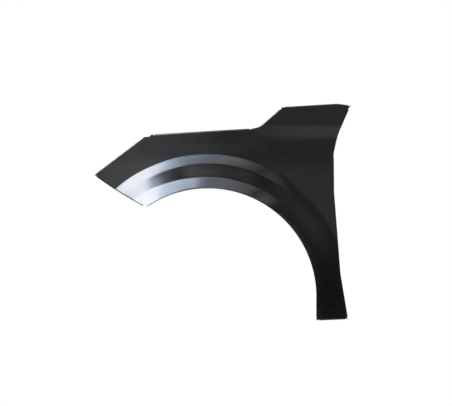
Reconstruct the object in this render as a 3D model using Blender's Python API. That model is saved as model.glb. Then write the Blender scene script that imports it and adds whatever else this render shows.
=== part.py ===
"""Left front fender of a compact car: one pressed steel panel with its folded flanges.

Metres. X runs to the rear of the car, Y inboard and Z up, so the painted side faces -Y.
Sizes are taken from the wheel centre. The finished panel is then moved so that its origin
is the middle bolt seat of the hood ledge, under the sheet and ahead of the hole.
"""

import math

import bmesh
import bpy
from mathutils import Matrix, Vector

# Sheet and bends. A bend's radius is that of the painted side.
SHEET = 0.0008
EDGE_BEND = 0.0032
ARCH_BEND = 0.0015
GUTTER_BEND = 0.0050
LEDGE_BEND = 0.0035

# Wheel arch, seen from the side
ARCH_RADIUS = 0.3600
ARCH_FRONT_ANGLE = math.radians(124.5)
FOOT_DROP = 0.0785

# Overall reaches beyond the arch
NOSE_LENGTH = 0.1754
DOOR_REACH = 0.1151
CROWN_HEIGHT = 0.2815

# Stepped flare round the arch: a lip riser, a flat land and an outer riser
LIP_WIDTH = 0.0384
LAND_WIDTH = 0.0424
RISER_WIDTH = 0.0327
LIP_STEP = 0.0200
RISER_STEP = 0.0115
LAND_TWIST_STEP = 0.0205
FLARE_FILLET = 0.0055
LEG_SWELL = 0.0100

# Form of the skin: how far it moves inboard
NOSE_RECESS = 0.1100
HOOD_LEAN = 0.0120
SHOULDER_STEP = 0.0050
SHOULDER_SHELF = 0.0400
LEG_TUCK = 0.0280
WAIST_HOLLOW = 0.0040

# Corner blends of the outline
COWL_BLEND = 0.0600
DOOR_BLEND = 0.3000
CREST_BLEND = 0.1200

# Flanges
ARCH_FLANGE = 0.0180
LAMP_FLANGE = 0.0140
BUMPER_FLANGE = 0.0170
COWL_FLANGE = 0.0150
CREST_FLANGE = 0.0130
DOOR_FLANGE = 0.0120
SILL_FLANGE = 0.0240
RELIEF = 0.0080
TAIL_RELIEF = 0.0080
FLANGE_TAPER = 0.0080
GUTTER_DEPTH = 0.0300
GUTTER_LEAN = math.radians(18)
LEDGE_WIDTH = 0.0250
SEAT_DROP = 0.0025
SEAT_LENGTH = 0.0400
SEAT_RAMP = 0.0100
TAB_REACH = 0.0220
TAB_LENGTH = 0.0380
TAB_SHOULDER = 0.0100

# Holes
SEAT_HOLE_RADIUS = 0.0045
TAB_HOLE_RADIUS = 0.0045
SILL_HOLE_RADIUS = 0.0040
CLIP_HOLE_RADIUS = 0.0032
SLOT_RADIUS = 0.0035
SLOT_LENGTH = 0.0160
SEAT_POINT_OFFSET = 0.0125

# Facets
EDGE_PITCH = 0.0320
BEND_FACETS = 3
GUTTER_FACETS = 4
OUTER_ROWS = 5
HOLE_FACETS = 16
CUTTER_OVERRUN = 0.0040

INBOARD = Vector((0.0, 1.0, 0.0))
ARCH_TURN = ARCH_RADIUS * ARCH_FRONT_ANGLE
ARCH_LENGTH = ARCH_TURN + FOOT_DROP
NOSE_REACH = NOSE_LENGTH - ARCH_RADIUS * math.cos(ARCH_FRONT_ANGLE)
FLARE_WIDTH = LIP_WIDTH + LAND_WIDTH + RISER_WIDTH

# Corners of the outline, front to rear. Each place is a share of a span: "front" runs from the
# wheel centre to the nose, "arch" is the arch's radius, "door" lies behind the arch, "crown" above
# it and "foot" below the wheel centre. The next share says how far along the arch the facets that
# meet the corner start, and the one after it how far their column bows forward, as a share of its
# length. The radius blends the corner, and 0 keeps it sharp.
CORNER_SHARES = (
    ("nose", "front", 1.000, "crown", 0.160, 0.000, 0.022, 0.0),
    ("lamp_top", "front", 0.560, "crown", 0.607, 0.110, 0.000, 0.0),
    ("notch_foot", "front", 0.514, "crown", 0.611, 0.125, 0.000, 0.0),
    ("hood_front", "front", 0.491, "crown", 0.638, 0.140, 0.000, 0.0),
    ("hood_rear", "arch", 0.468, "crown", 0.712, 0.445, 0.000, COWL_BLEND),
    ("cowl_top", "arch", 0.689, "crown", 0.961, 0.505, 0.020, 0.0),
    ("crest", "door", 0.610, "crown", 1.000, 0.580, 0.065, CREST_BLEND),
    ("tail", "door", 1.000, "crown", 0.980, 0.605, 0.090, 0.0),
    ("door_upper", "door", 0.627, "crown", 0.638, 0.675, 0.060, DOOR_BLEND),
    ("door_waist", "door", 0.506, "crown", 0.420, 0.725, 0.020, DOOR_BLEND),
    ("door_middle", "door", 0.514, "arch", 0.967, 0.790, 0.000, DOOR_BLEND),
    ("door_low", "door", 0.700, "arch", 0.214, 0.925, 0.000, DOOR_BLEND),
    ("foot_rear", "door", 0.922, "foot", 0.945, 1.000, 0.000, 0.0),
)
CROWN_START_SHARE = 0.20
REAR_CROWN_START_SHARE = 0.10
HOOD_LINE_SHARE = 0.70
SHELF_TOP_SHARE = 0.735
PLAN_START_SHARE = 0.17
TUCK_START_SHARE = 0.72
WAIST_REACH_SHARE = 0.45
FLARE_GROWTH_SHARE = 0.62
LIP_GROWTH_SHARE = 0.15
FLARE_GROWTH_END_SHARE = 0.40
FLARE_FULL_SHARE = 0.38
FLARE_END_SHARE = 0.55
TWIST_FULL_SHARE = 0.02
TWIST_END_SHARE = 0.20
RING_SHARE = 0.64
SEAT_PLACES_SHARES = (0.12, 0.52, 0.90)
ARCH_CLIP_SHARES = (0.06, 0.27, 0.50, 0.73, 0.94)
SLOT_PLACES_SHARES = (0.22, 0.55, 0.84)
SILL_HOLE_SHARES = (0.28, 0.74)
DOOR_TAB_SHARES = (0.30, 0.86)
LAMP_HOLE_SHARE = 0.50
COWL_HOLE_SHARE = 0.55
TAB_HOLE_REACH_SHARE = 0.68
MIDDLE_SHARE = 0.50
FLANGE_END_SHARE = 0.40
PLAN_POWER = 2.0


def clamp(value, low=0.0, high=1.0):
    return max(low, min(high, value))


def smooth(value):
    """Eased step from 0 to 1."""
    t = clamp(value)
    return t * t * (3 - 2 * t)


def soft_ramp(value, width):
    """0 below zero and value above it, with the corner rounded over width."""
    if value <= -width / 2:
        return 0.0
    if value >= width / 2:
        return value
    return (value + width / 2) ** 2 / (2 * width)


def span_x(span, share):
    """X of a share of one of the outline's spans."""
    if span == "front":
        return -share * NOSE_REACH
    if span == "arch":
        return share * ARCH_RADIUS
    return ARCH_RADIUS + share * DOOR_REACH


def span_z(span, share):
    """Z of a share of one of the outline's spans."""
    if span == "crown":
        return ARCH_RADIUS + share * CROWN_HEIGHT
    if span == "arch":
        return share * ARCH_RADIUS
    return -share * FOOT_DROP


def arch_point(length):
    """Point of the arch opening at a length from its front corner, and the way out from it."""
    if length <= ARCH_TURN:
        angle = ARCH_FRONT_ANGLE - length / ARCH_RADIUS
        out = Vector((math.cos(angle), math.sin(angle)))
        return out * ARCH_RADIUS, out
    return Vector((ARCH_RADIUS, ARCH_TURN - length)), Vector((1.0, 0.0))


def arch_distance(x, z):
    """Distance from the arch opening to a point of the side view."""
    if z < 0:
        return x - ARCH_RADIUS
    return math.hypot(x, z) - ARCH_RADIUS


def arch_share(x, z):
    """How far round the arch a point lies: 0 at the front corner, 1 at the foot."""
    if z < 0:
        return (ARCH_TURN - z) / ARCH_LENGTH
    return (ARCH_FRONT_ANGLE - math.atan2(z, x)) * ARCH_RADIUS / ARCH_LENGTH


def flare_growth(share):
    """How far the flare has grown toward its front, where it is widest and steepest."""
    return max(0.0, 1 - share / FLARE_GROWTH_END_SHARE) ** 2


def lip_reach(share):
    """Width of the flare's lip at a share of the way round the arch."""
    return LIP_WIDTH * (1 + LIP_GROWTH_SHARE * flare_growth(share))


def flare_height(x, z):
    """How far the stepped flare stands out, steeper to the front and fading out behind the top."""
    rho = arch_distance(x, z)
    share = arch_share(x, z)
    fade = 1 - smooth((share - FLARE_FULL_SHARE) / (FLARE_END_SHARE - FLARE_FULL_SHARE))
    twist = 1 - smooth((share - TWIST_FULL_SHARE) / (TWIST_END_SHARE - TWIST_FULL_SHARE))
    steeper = 1 + FLARE_GROWTH_SHARE * flare_growth(share)
    lip_slope = steeper * LIP_STEP / LIP_WIDTH
    riser_slope = steeper * RISER_STEP / RISER_WIDTH
    land_slope = twist * LAND_TWIST_STEP / LAND_WIDTH
    height = riser_slope * soft_ramp(FLARE_WIDTH - rho, FLARE_FILLET)
    height += (land_slope - riser_slope) * soft_ramp(LIP_WIDTH + LAND_WIDTH - rho, FLARE_FILLET)
    height += (lip_slope - land_slope) * soft_ramp(lip_reach(share) - rho, FLARE_FILLET)
    swell = LEG_SWELL * (1 - fade) * (1 - smooth(rho / FLARE_WIDTH))
    return fade * height + swell


def skin_depth(x, z):
    """Y of the painted skin at a place of the side view, inboard positive."""
    plan_start = PLAN_START_SHARE * ARCH_RADIUS
    plan = clamp((plan_start - x) / (plan_start + NOSE_REACH), 0.0, 2.0)
    depth = NOSE_RECESS * plan**PLAN_POWER

    rearward = smooth((x - plan_start) / (ARCH_RADIUS - plan_start))
    crown_share = CROWN_START_SHARE + rearward * (REAR_CROWN_START_SHARE - CROWN_START_SHARE)
    crown_start = span_z("crown", crown_share)
    hood_line = span_z("crown", HOOD_LINE_SHARE)
    lean = max(0.0, (z - crown_start) / (hood_line - crown_start))
    depth += HOOD_LEAN * (lean**2 if lean < 1 else 2 * lean - 1)

    shelf = span_z("crown", SHELF_TOP_SHARE)
    shelf_rise = (
        soft_ramp(z - shelf + SHOULDER_SHELF, SHOULDER_SHELF / 2)
        - soft_ramp(z - shelf, SHOULDER_SHELF / 8)
    )
    depth += SHOULDER_STEP * rearward * shelf_rise / SHOULDER_SHELF

    tuck_start = TUCK_START_SHARE * ARCH_RADIUS
    tuck = max(0.0, (tuck_start - z) / (tuck_start + FOOT_DROP))
    depth += LEG_TUCK * tuck**2 * smooth(x / ARCH_RADIUS)

    middle = (ARCH_RADIUS + FLARE_WIDTH + hood_line) / 2
    up = (z - middle) / (hood_line - middle)
    along = x / (WAIST_REACH_SHARE * ARCH_RADIUS)
    depth += WAIST_HOLLOW * math.exp(-(up**2)) * math.exp(-(along**2))
    return depth - flare_height(x, z)


def skin_point(place):
    return Vector((place.x, skin_depth(place.x, place.y), place.y))


def skin_slopes(place):
    """Slopes of the skin along X and Z, by central differences."""
    step = SHEET / 8
    along_x = skin_depth(place.x + step, place.y) - skin_depth(place.x - step, place.y)
    along_z = skin_depth(place.x, place.y + step) - skin_depth(place.x, place.y - step)
    return along_x / (2 * step), along_z / (2 * step)


def lifted(place, way):
    """A direction of the side view, laid into the skin."""
    slope_x, slope_z = skin_slopes(place)
    return Vector((way.x, slope_x * way.x + slope_z * way.y, way.y)).normalized()


class Outline:
    """Outer outline from the nose over the hood line and down the door edge, as lines and blends."""

    def __init__(self):
        names = [row[0] for row in CORNER_SHARES]
        points = [Vector((span_x(row[1], row[2]), span_z(row[3], row[4]))) for row in CORNER_SHARES]
        radii = [row[-1] for row in CORNER_SHARES]
        self.pieces = []
        self.marks = {}
        self.length = 0.0
        start = points[0]
        self.marks[names[0]] = (0.0, 0.0)
        for i in range(1, len(points)):
            arriving = (points[i] - points[i - 1]).normalized()
            cut = 0.0
            if radii[i]:
                leaving = (points[i + 1] - points[i]).normalized()
                turn = math.atan2(arriving.cross(leaving), arriving.dot(leaving))
                room = min((points[i] - start).length, (points[i + 1] - points[i]).length) / 2
                cut = min(radii[i] * math.tan(abs(turn) / 2), room)
            end = points[i] - arriving * cut
            self.add((end - start).length, start, arriving, 0.0)
            self.marks[names[i]] = (self.length, self.length)
            if cut:
                before = self.length
                radius = cut / math.tan(abs(turn) / 2)
                self.add(radius * abs(turn), end, arriving, turn)
                self.marks[names[i]] = (before, self.length)
                end = points[i] + leaving * cut
            start = end

    def add(self, length, start, heading, turn):
        self.pieces.append((self.length, length, start, heading, turn))
        self.length += length

    def at(self, length):
        """Place and heading at a length along the outline."""
        for before, run, start, heading, turn in self.pieces:
            if length <= before + run or (before + run) >= self.length:
                done = length - before
                break
        if not turn:
            return start + heading * done, heading
        radius = run / abs(turn)
        centre = start + heading.orthogonal() * math.copysign(radius, turn)
        swing = Matrix.Rotation(turn * done / run, 2)
        return centre + swing @ (start - centre), swing @ heading

    def between_corners(self, length, column):
        """A value of the corners' table, carried on evenly between the corners."""
        known = [(sum(self.marks[row[0]]) / 2, row[column]) for row in CORNER_SHARES]
        for (low, value), (high, next_value) in zip(known, known[1:]):
            if length <= high:
                return value + (next_value - value) * (length - low) / (high - low)
        return known[-1][1]


def outward_of(heading):
    """Left of the way round the outline, which is out of the panel."""
    return Vector((-heading.y, heading.x))


def filled(stops, pitch):
    """The stops with even steps of at most the pitch between them."""
    stops = sorted(stops)
    result = [stops[0]]
    for low, high in zip(stops, stops[1:]):
        if high - low < SHEET:
            continue
        steps = max(1, math.ceil((high - low) / pitch))
        result += [low + (high - low) * k / steps for k in range(1, steps + 1)]
    return result


def bent(points, heading, toward, radius, facets):
    """Carries a section on round a bend, from heading to toward."""
    side = (toward - heading * toward.dot(heading)).normalized()
    angle = heading.angle(toward)
    start = points[-1]
    for k in range(1, facets + 1):
        swing = angle * k / facets
        points.append(start + radius * (math.sin(swing) * heading + (1 - math.cos(swing)) * side))
    return toward


def flange_section(start, heading, edge, width, radius):
    """One bend to the inboard way and a straight flange that stands on the edge's side view."""
    points = [start]
    bent(points, heading, INBOARD, radius, BEND_FACETS)
    points[-1] = Vector((edge.x, points[-1].y, edge.y))
    points.append(points[-1] + INBOARD * width)
    return points


def gutter_section(start, heading, ledge_z):
    """The hood gutter: over the top, down the wall and inboard along the bolting ledge."""
    points = [start]
    down = Vector((0.0, math.sin(GUTTER_LEAN), -math.cos(GUTTER_LEAN)))
    bent(points, heading, down, GUTTER_BEND, GUTTER_FACETS)
    drop = points[-1].z - ledge_z - LEDGE_BEND * (1 - math.sin(GUTTER_LEAN))
    points.append(points[-1] + down * max(drop, SHEET) / math.cos(GUTTER_LEAN))
    bent(points, down, INBOARD, LEDGE_BEND, BEND_FACETS)
    points.append(points[-1] + INBOARD * LEDGE_WIDTH)
    return points


def end_taper(length, low, high):
    """Share of its width that a flange has near its ends, cut at a slant."""
    grown = min(length - low, high - length) / FLANGE_TAPER
    return clamp(FLANGE_END_SHARE + (1 - FLANGE_END_SHARE) * grown)


class Panel:
    """Collects the panel's facets and the places of its holes."""

    def __init__(self):
        self.mesh = bmesh.new()
        self.cutters = bmesh.new()

    def add_strip(self, sections, boundary, run):
        """Joins neighbouring sections of one flange. The boundary holds the skin's own points."""
        columns = []
        for section, first in zip(sections, boundary):
            columns.append([first] + [self.mesh.verts.new(p) for p in section[1:]])
        for left, right in zip(columns, columns[1:]):
            for k in range(len(left) - 1):
                self.mesh.faces.new((left[k], right[k], right[k + 1], left[k + 1]))
        return [(section[run], section[run + 1]) for section in sections]

    def pierce(self, edges, share, reach_share, radius, slot=0.0):
        """Cuts a hole in a flange's straight run, at a share of its length and width."""
        gaps = [(b[0] - a[0]).length for a, b in zip(edges, edges[1:])]
        left = share * sum(gaps)
        k = 0
        while left > gaps[k] and k < len(gaps) - 1:
            left -= gaps[k]
            k += 1
        t = left / gaps[k]
        root = edges[k][0].lerp(edges[k + 1][0], t)
        tip = edges[k][1].lerp(edges[k + 1][1], t)
        along = (edges[k + 1][0] - edges[k][0]).normalized()
        across = (tip - root).normalized()
        axis = along.cross(across).normalized()
        across = axis.cross(along)
        centre = root.lerp(tip, reach_share)
        frame = Matrix((along, across, axis)).transposed().to_4x4()
        frame.translation = centre
        add_cutter(self.cutters, frame, radius, slot)
        return centre


def add_cutter(cutters, frame, radius, slot):
    """A round or slot-shaped cutter through the sheet, its axis along the frame's Z."""
    half_slot = max(0.0, slot / 2 - radius)
    reach = SHEET + CUTTER_OVERRUN
    rings = []
    for height in (-reach, reach):
        ring = []
        for k in range(HOLE_FACETS):
            angle = 2 * math.pi * (k + 0.5) / HOLE_FACETS
            place = Vector((radius * math.cos(angle), radius * math.sin(angle), height))
            place.x += math.copysign(half_slot, place.x)
            ring.append(cutters.verts.new(frame @ place))
        rings.append(ring)
    cutters.faces.new(reversed(rings[0]))
    cutters.faces.new(rings[1])
    for k in range(HOLE_FACETS):
        following = (k + 1) % HOLE_FACETS
        cutters.faces.new((rings[0][k], rings[0][following], rings[1][following], rings[1][k]))


def ring_rows(start):
    """Distances from the arch of the rows that follow the flare's steps, by a column's start."""
    lip, land_end = lip_reach(start / ARCH_LENGTH), LIP_WIDTH + LAND_WIDTH
    rows = [0.0, lip / 2]
    for crease in (lip, land_end, FLARE_WIDTH):
        rows += [crease - FLARE_FILLET / 2, crease, crease + FLARE_FILLET / 2]
    rows.append((lip + land_end) / 2)
    return sorted(rows)


def share_at_distance(start, end, bow, target):
    """Share of a column at which it lies a distance from the arch, by halving."""
    low, high = 0.0, 1.0
    for _ in range(40):
        middle = (low + high) / 2
        place = column_place(start, end, bow, middle)
        if arch_distance(place.x, place.y) < target:
            low = middle
        else:
            high = middle
    return (low + high) / 2


def column_place(start, end, bow, share):
    """A place on one column of facets, between the arch and the outline."""
    way = end - start
    place = start + way * share
    return place + outward_of(way) * bow * 4 * share * (1 - share)


def arch_start(outline, length):
    """Length along the arch at which a column starts, keeping a whole relief clear at both ends."""
    start = outline.between_corners(length, 5) * ARCH_LENGTH
    front = RELIEF - outline.between_corners(RELIEF, 5) * ARCH_LENGTH
    foot = RELIEF - (1 - outline.between_corners(outline.length - RELIEF, 5)) * ARCH_LENGTH
    front_fade = end_fade(length, outline.marks["lamp_top"][0])
    foot_fade = end_fade(outline.length - length, outline.length - outline.marks["door_low"][1])
    return start + front * front_fade - foot * foot_fade


def end_fade(length, reach):
    """Share that grows from 0 to 1 over the relief at an end, and is back at 0 at the reach."""
    return clamp(min(length / RELIEF, (reach - length) / (reach - RELIEF)))


def skin_places(outline, stations, outer_flange):
    """The side view's places, one column for each station, ending where the bends begin."""
    starts = [arch_start(outline, length) for length in stations]
    arch_on = carried_stations(starts)
    columns = []
    for k, length in enumerate(stations):
        start, out = arch_point(starts[k])
        if arch_on[k]:
            start = start + out * bend_reach(start, -out, ARCH_BEND)
        end, heading = outline.at(length)
        bow = outline.between_corners(length, 6)
        if outer_flange[k]:
            radius = GUTTER_BEND if outer_flange[k] == "gutter" else EDGE_BEND
            out = outward_of(heading)
            way = end - start
            arriving = (way - outward_of(way) * 4 * bow).normalized()
            end = end - arriving * bend_reach(end, out, radius) / arriving.dot(out)
        rows = ring_rows(starts[k])
        room = arch_distance(end.x, end.y) * RING_SHARE / rows[-1]
        targets = [row * min(1.0, room) for row in rows]
        targets[1] = min(RELIEF, targets[2] / 2)
        shares = [0.0] + [share_at_distance(start, end, bow, target) for target in targets[1:]]
        last = shares[-1]
        final = 1 - RELIEF / (end - start).length
        shares += [last + (final - last) * k / OUTER_ROWS for k in range(1, OUTER_ROWS + 1)]
        shares.append(1.0)
        columns.append([column_place(start, end, bow, s) for s in shares])
    return columns, arch_on


def carried_stations(lengths):
    """Which stations of a boundary carry a flange: those a relief away from both its ends."""
    low, high = lengths[0] + RELIEF, lengths[-1] - RELIEF
    return [low - SHEET < length < high + SHEET for length in lengths]


def bend_reach(place, out, radius):
    """How far a bend from the skin to the inboard way carries on past its start."""
    return radius * (1 - lifted(place, out).dot(INBOARD))


def running_lengths(places):
    lengths = [0.0]
    for a, b in zip(places, places[1:]):
        lengths.append(lengths[-1] + (b - a).length)
    return lengths


def boundary_outwards(places, inner):
    """Ways out of the panel at each place of a boundary, square to it and away from the inner row."""
    ways = []
    for k, place in enumerate(places):
        before, after = places[max(k - 1, 0)], places[min(k + 1, len(places) - 1)]
        heading = (after - before).normalized()
        out = outward_of(heading)
        if out.dot(place - inner[k]) < 0:
            out = -out
        ways.append((out, heading))
    return ways


def heading_in_skin(place, out, heading):
    """The way out of the panel, laid in the skin and square to its edge."""
    edge = lifted(place, heading)
    way = lifted(place, out)
    return (way - edge * way.dot(edge)).normalized()


def hood_spans(outline):
    """Where each outer flange runs, as lengths along the outline."""
    marks = outline.marks
    return {
        "lamp": (RELIEF, marks["lamp_top"][0] - RELIEF),
        "gutter": (marks["hood_front"][0] + RELIEF, marks["hood_rear"][0] - RELIEF),
        "cowl": (marks["hood_rear"][0] + RELIEF / 4, marks["cowl_top"][0] - RELIEF),
        "crest": (marks["cowl_top"][0] + RELIEF, marks["tail"][0] - TAIL_RELIEF),
        "door": (marks["tail"][0] + TAIL_RELIEF, marks["foot_rear"][0] - RELIEF),
    }


def features(spans):
    """Centres along the outline of the ledge's bolt seats and of the door edge's tabs."""
    low, high = spans["gutter"]
    inner = SEAT_LENGTH / 2 + SEAT_RAMP
    seats = [low + inner + (high - low - 2 * inner) * share for share in SEAT_PLACES_SHARES]
    low, high = spans["door"]
    tabs = [low + (high - low) * share for share in DOOR_TAB_SHARES]
    return seats, tabs


def outline_stations(outline, spans, seats, tabs):
    """Every length along the outline at which a column of facets ends."""
    stops = [end for mark in outline.marks.values() for end in mark]
    stops += [end for span in spans.values() for end in span]
    for low, high in spans.values():
        stops += [low + FLANGE_TAPER, high - FLANGE_TAPER]
    for seat in seats:
        half = SEAT_LENGTH / 2
        stops += [seat - half - SEAT_RAMP, seat - half, seat, seat + half, seat + half + SEAT_RAMP]
    for tab in tabs:
        half = TAB_LENGTH / 2
        stops += [tab - half - TAB_SHOULDER, tab - half, tab + half, tab + half + TAB_SHOULDER]
    return filled([s for s in stops if 0 <= s <= outline.length], EDGE_PITCH)


def share_along(edges, stations, length):
    """Share of a flange's running length at which a length along the outline lies."""
    lengths = running_lengths([edge[0] for edge in edges])
    k = 0
    while stations[k + 1] < length:
        k += 1
    t = (length - stations[k]) / (stations[k + 1] - stations[k])
    return (lengths[k] + t * (lengths[k + 1] - lengths[k])) / lengths[-1]


def ledge_height(outline, length, seats):
    """Height of the ledge: along the hood line, dropped and level at the bolt seats."""
    def free(at):
        return outline.at(at)[0].y - GUTTER_DEPTH

    height = free(length)
    for seat in seats:
        apart = abs(length - seat) - SEAT_LENGTH / 2
        if apart < SEAT_RAMP - SHEET / 2:
            level = free(seat) - SEAT_DROP
            height = level + (height - level) * clamp(apart / SEAT_RAMP)
    return height


def build_panel():
    """The whole sheet as an open surface, the painted side out, with its hole cutters."""
    panel = Panel()
    outline = Outline()
    spans = hood_spans(outline)
    seats, tabs = features(spans)
    stations = outline_stations(outline, spans, seats, tabs)
    outer_flange = [None] * len(stations)
    for name, (low, high) in spans.items():
        for k, length in enumerate(stations):
            if low - SHEET / 2 <= length <= high + SHEET / 2:
                outer_flange[k] = name
    places, arch_on = skin_places(outline, stations, outer_flange)

    # The skin steps back from its ends by the bends that follow there.
    front_on = carried_stations(running_lengths(places[0]))
    foot_on = carried_stations(running_lengths(places[-1]))
    arch_ways = [arch_point(arch_start(outline, s)) for s in stations]
    arch_ways = [(-out, Vector((-out.y, out.x))) for _, out in arch_ways]
    front_ways = boundary_outwards(places[0], places[1])
    foot_ways = boundary_outwards(places[-1], places[-2])
    outer_ways = [(outward_of(outline.at(s)[1]), outline.at(s)[1]) for s in stations]
    arch_edge = [arch_point(arch_start(outline, s))[0] for s in stations]
    outer_edge = []
    for column, length, (out, _) in zip(places, stations, outer_ways):
        apart = outline.at(length)[0] - column[-1]
        outer_edge.append(column[-1] + out * apart.dot(out))
    front_edge, foot_edge = list(places[0]), list(places[-1])
    for column, ways, carried in ((places[0], front_ways, front_on), (places[-1], foot_ways, foot_on)):
        for j, (out, _) in enumerate(ways):
            if carried[j]:
                column[j] = column[j] - out * bend_reach(column[j], out, EDGE_BEND)

    grid = [[panel.mesh.verts.new(skin_point(place)) for place in column] for column in places]
    for left, right in zip(grid, grid[1:]):
        for j in range(len(left) - 1):
            panel.mesh.faces.new((left[j], right[j], right[j + 1], left[j + 1]))

    def section(place, ways, edge, width, radius=EDGE_BEND):
        return flange_section(skin_point(place), heading_in_skin(place, *ways), edge, width, radius)

    def straight_flange(row, ways, edges, carried, verts, width, radius=EDGE_BEND):
        lengths = running_lengths(row)
        chosen = [k for k, on in enumerate(carried) if on]
        low, high = lengths[0] + RELIEF, lengths[-1] - RELIEF
        sections = [
            section(row[k], ways[k], edges[k], width * end_taper(lengths[k], low, high), radius)
            for k in chosen
        ]
        return panel.add_strip(sections, [verts[k] for k in chosen], BEND_FACETS)

    arch_row, arch_verts = [column[0] for column in places], [column[0] for column in grid]
    arch_edges = straight_flange(
        arch_row, arch_ways, arch_edge, arch_on, arch_verts, ARCH_FLANGE, ARCH_BEND
    )
    bumper_edges = straight_flange(places[0], front_ways, front_edge, front_on, grid[0], BUMPER_FLANGE)
    sill_edges = straight_flange(places[-1], foot_ways, foot_edge, foot_on, grid[-1], SILL_FLANGE)

    widths = {"lamp": LAMP_FLANGE, "cowl": COWL_FLANGE, "crest": CREST_FLANGE, "door": DOOR_FLANGE}
    outer_edges = {}
    outer_stations = {}
    for name, (low, high) in spans.items():
        chosen = [k for k, carried in enumerate(outer_flange) if carried == name]
        sections = []
        for k in chosen:
            place, ways = places[k][-1], outer_ways[k]
            if name == "gutter":
                heading = heading_in_skin(place, *ways)
                height = ledge_height(outline, stations[k], seats)
                sections.append(gutter_section(skin_point(place), heading, height))
                continue
            width = widths[name] * end_taper(stations[k], low, high)
            for tab in tabs:
                beyond = abs(stations[k] - tab) - TAB_LENGTH / 2
                if name == "door":
                    width += TAB_REACH * clamp(1 - beyond / TAB_SHOULDER)
            sections.append(section(place, ways, outer_edge[k], width))
        run = GUTTER_FACETS + 1 + BEND_FACETS if name == "gutter" else BEND_FACETS
        outer_edges[name] = panel.add_strip(sections, [grid[k][-1] for k in chosen], run)
        outer_stations[name] = [stations[k] for k in chosen]

    seat_centres = []
    for seat in seats:
        share = share_along(outer_edges["gutter"], outer_stations["gutter"], seat)
        seat_centres.append(panel.pierce(outer_edges["gutter"], share, MIDDLE_SHARE, SEAT_HOLE_RADIUS))
    for share in ARCH_CLIP_SHARES:
        panel.pierce(arch_edges, share, MIDDLE_SHARE, CLIP_HOLE_RADIUS)
    for share in SLOT_PLACES_SHARES:
        panel.pierce(bumper_edges, share, MIDDLE_SHARE, SLOT_RADIUS, SLOT_LENGTH)
    for share in SILL_HOLE_SHARES:
        panel.pierce(sill_edges, share, MIDDLE_SHARE, SILL_HOLE_RADIUS)
    panel.pierce(outer_edges["lamp"], LAMP_HOLE_SHARE, MIDDLE_SHARE, CLIP_HOLE_RADIUS)
    panel.pierce(outer_edges["cowl"], COWL_HOLE_SHARE, MIDDLE_SHARE, CLIP_HOLE_RADIUS)
    for tab in tabs:
        share = share_along(outer_edges["door"], outer_stations["door"], tab)
        panel.pierce(outer_edges["door"], share, TAB_HOLE_REACH_SHARE, TAB_HOLE_RADIUS)

    centre = seat_centres[len(seat_centres) // 2]
    origin = centre - Vector((SEAT_POINT_OFFSET, 0.0, SHEET))
    return panel, origin


def finished_mesh(mesh, name, origin):
    """Turns a bmesh into a mesh whose zero is the origin."""
    bmesh.ops.translate(mesh, verts=mesh.verts, vec=-origin)
    data = bpy.data.meshes.new(name)
    mesh.to_mesh(data)
    mesh.free()
    return data


def black_primer():
    """Satin black electro-dipped primer."""
    material = bpy.data.materials.new("black_primer")
    material.use_nodes = True
    shader = material.node_tree.nodes["Principled BSDF"]
    shader.inputs["Base Color"].default_value = (0.016, 0.016, 0.017, 1.0)
    shader.inputs["Roughness"].default_value = 0.28
    shader.inputs["Metallic"].default_value = 0.0
    return material


def main():
    for old in list(bpy.data.objects):
        bpy.data.objects.remove(old)
    panel, origin = build_panel()

    bmesh.ops.recalc_face_normals(panel.mesh, faces=panel.mesh.faces)
    panel.mesh.faces.ensure_lookup_table()
    if panel.mesh.faces[0].normal.y > 0:
        bmesh.ops.reverse_faces(panel.mesh, faces=panel.mesh.faces)
    bmesh.ops.recalc_face_normals(panel.cutters, faces=panel.cutters.faces)

    fender = bpy.data.objects.new("fender_panel", finished_mesh(panel.mesh, "fender_panel", origin))
    bpy.context.scene.collection.objects.link(fender)
    fender.data.materials.append(black_primer())

    cutters = bpy.data.objects.new("hole_cutters", finished_mesh(panel.cutters, "hole_cutters", origin))
    bpy.context.scene.collection.objects.link(cutters)
    cutters.hide_render = True
    cutters.display_type = "WIRE"

    facets = fender.modifiers.new("facets", "TRIANGULATE")
    facets.quad_method = "SHORTEST_DIAGONAL"
    wall = fender.modifiers.new("sheet", "SOLIDIFY")
    wall.thickness = SHEET
    wall.offset = -1.0
    wall.use_even_offset = True
    wall.use_quality_normals = True
    wall.thickness_clamp = 0.0
    holes = fender.modifiers.new("holes", "BOOLEAN")
    holes.operation = "DIFFERENCE"
    holes.solver = "EXACT"
    holes.object = cutters

    fender.data.shade_smooth()
    fender.data.set_sharp_from_angle(angle=math.radians(30))


main()
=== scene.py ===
"""Left front fender of a compact car, primed black, seen square on from outside.

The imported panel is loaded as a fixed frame. The sheet is then rebuilt over it from the same
sizes with a fine surface, rounded folds and punched holes, and given its finish.
"""

from __future__ import annotations

import logging
import math
from dataclasses import dataclass, field
from enum import Enum

import bmesh
import bpy
import numpy as np
from mathutils import Matrix, Vector


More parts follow.
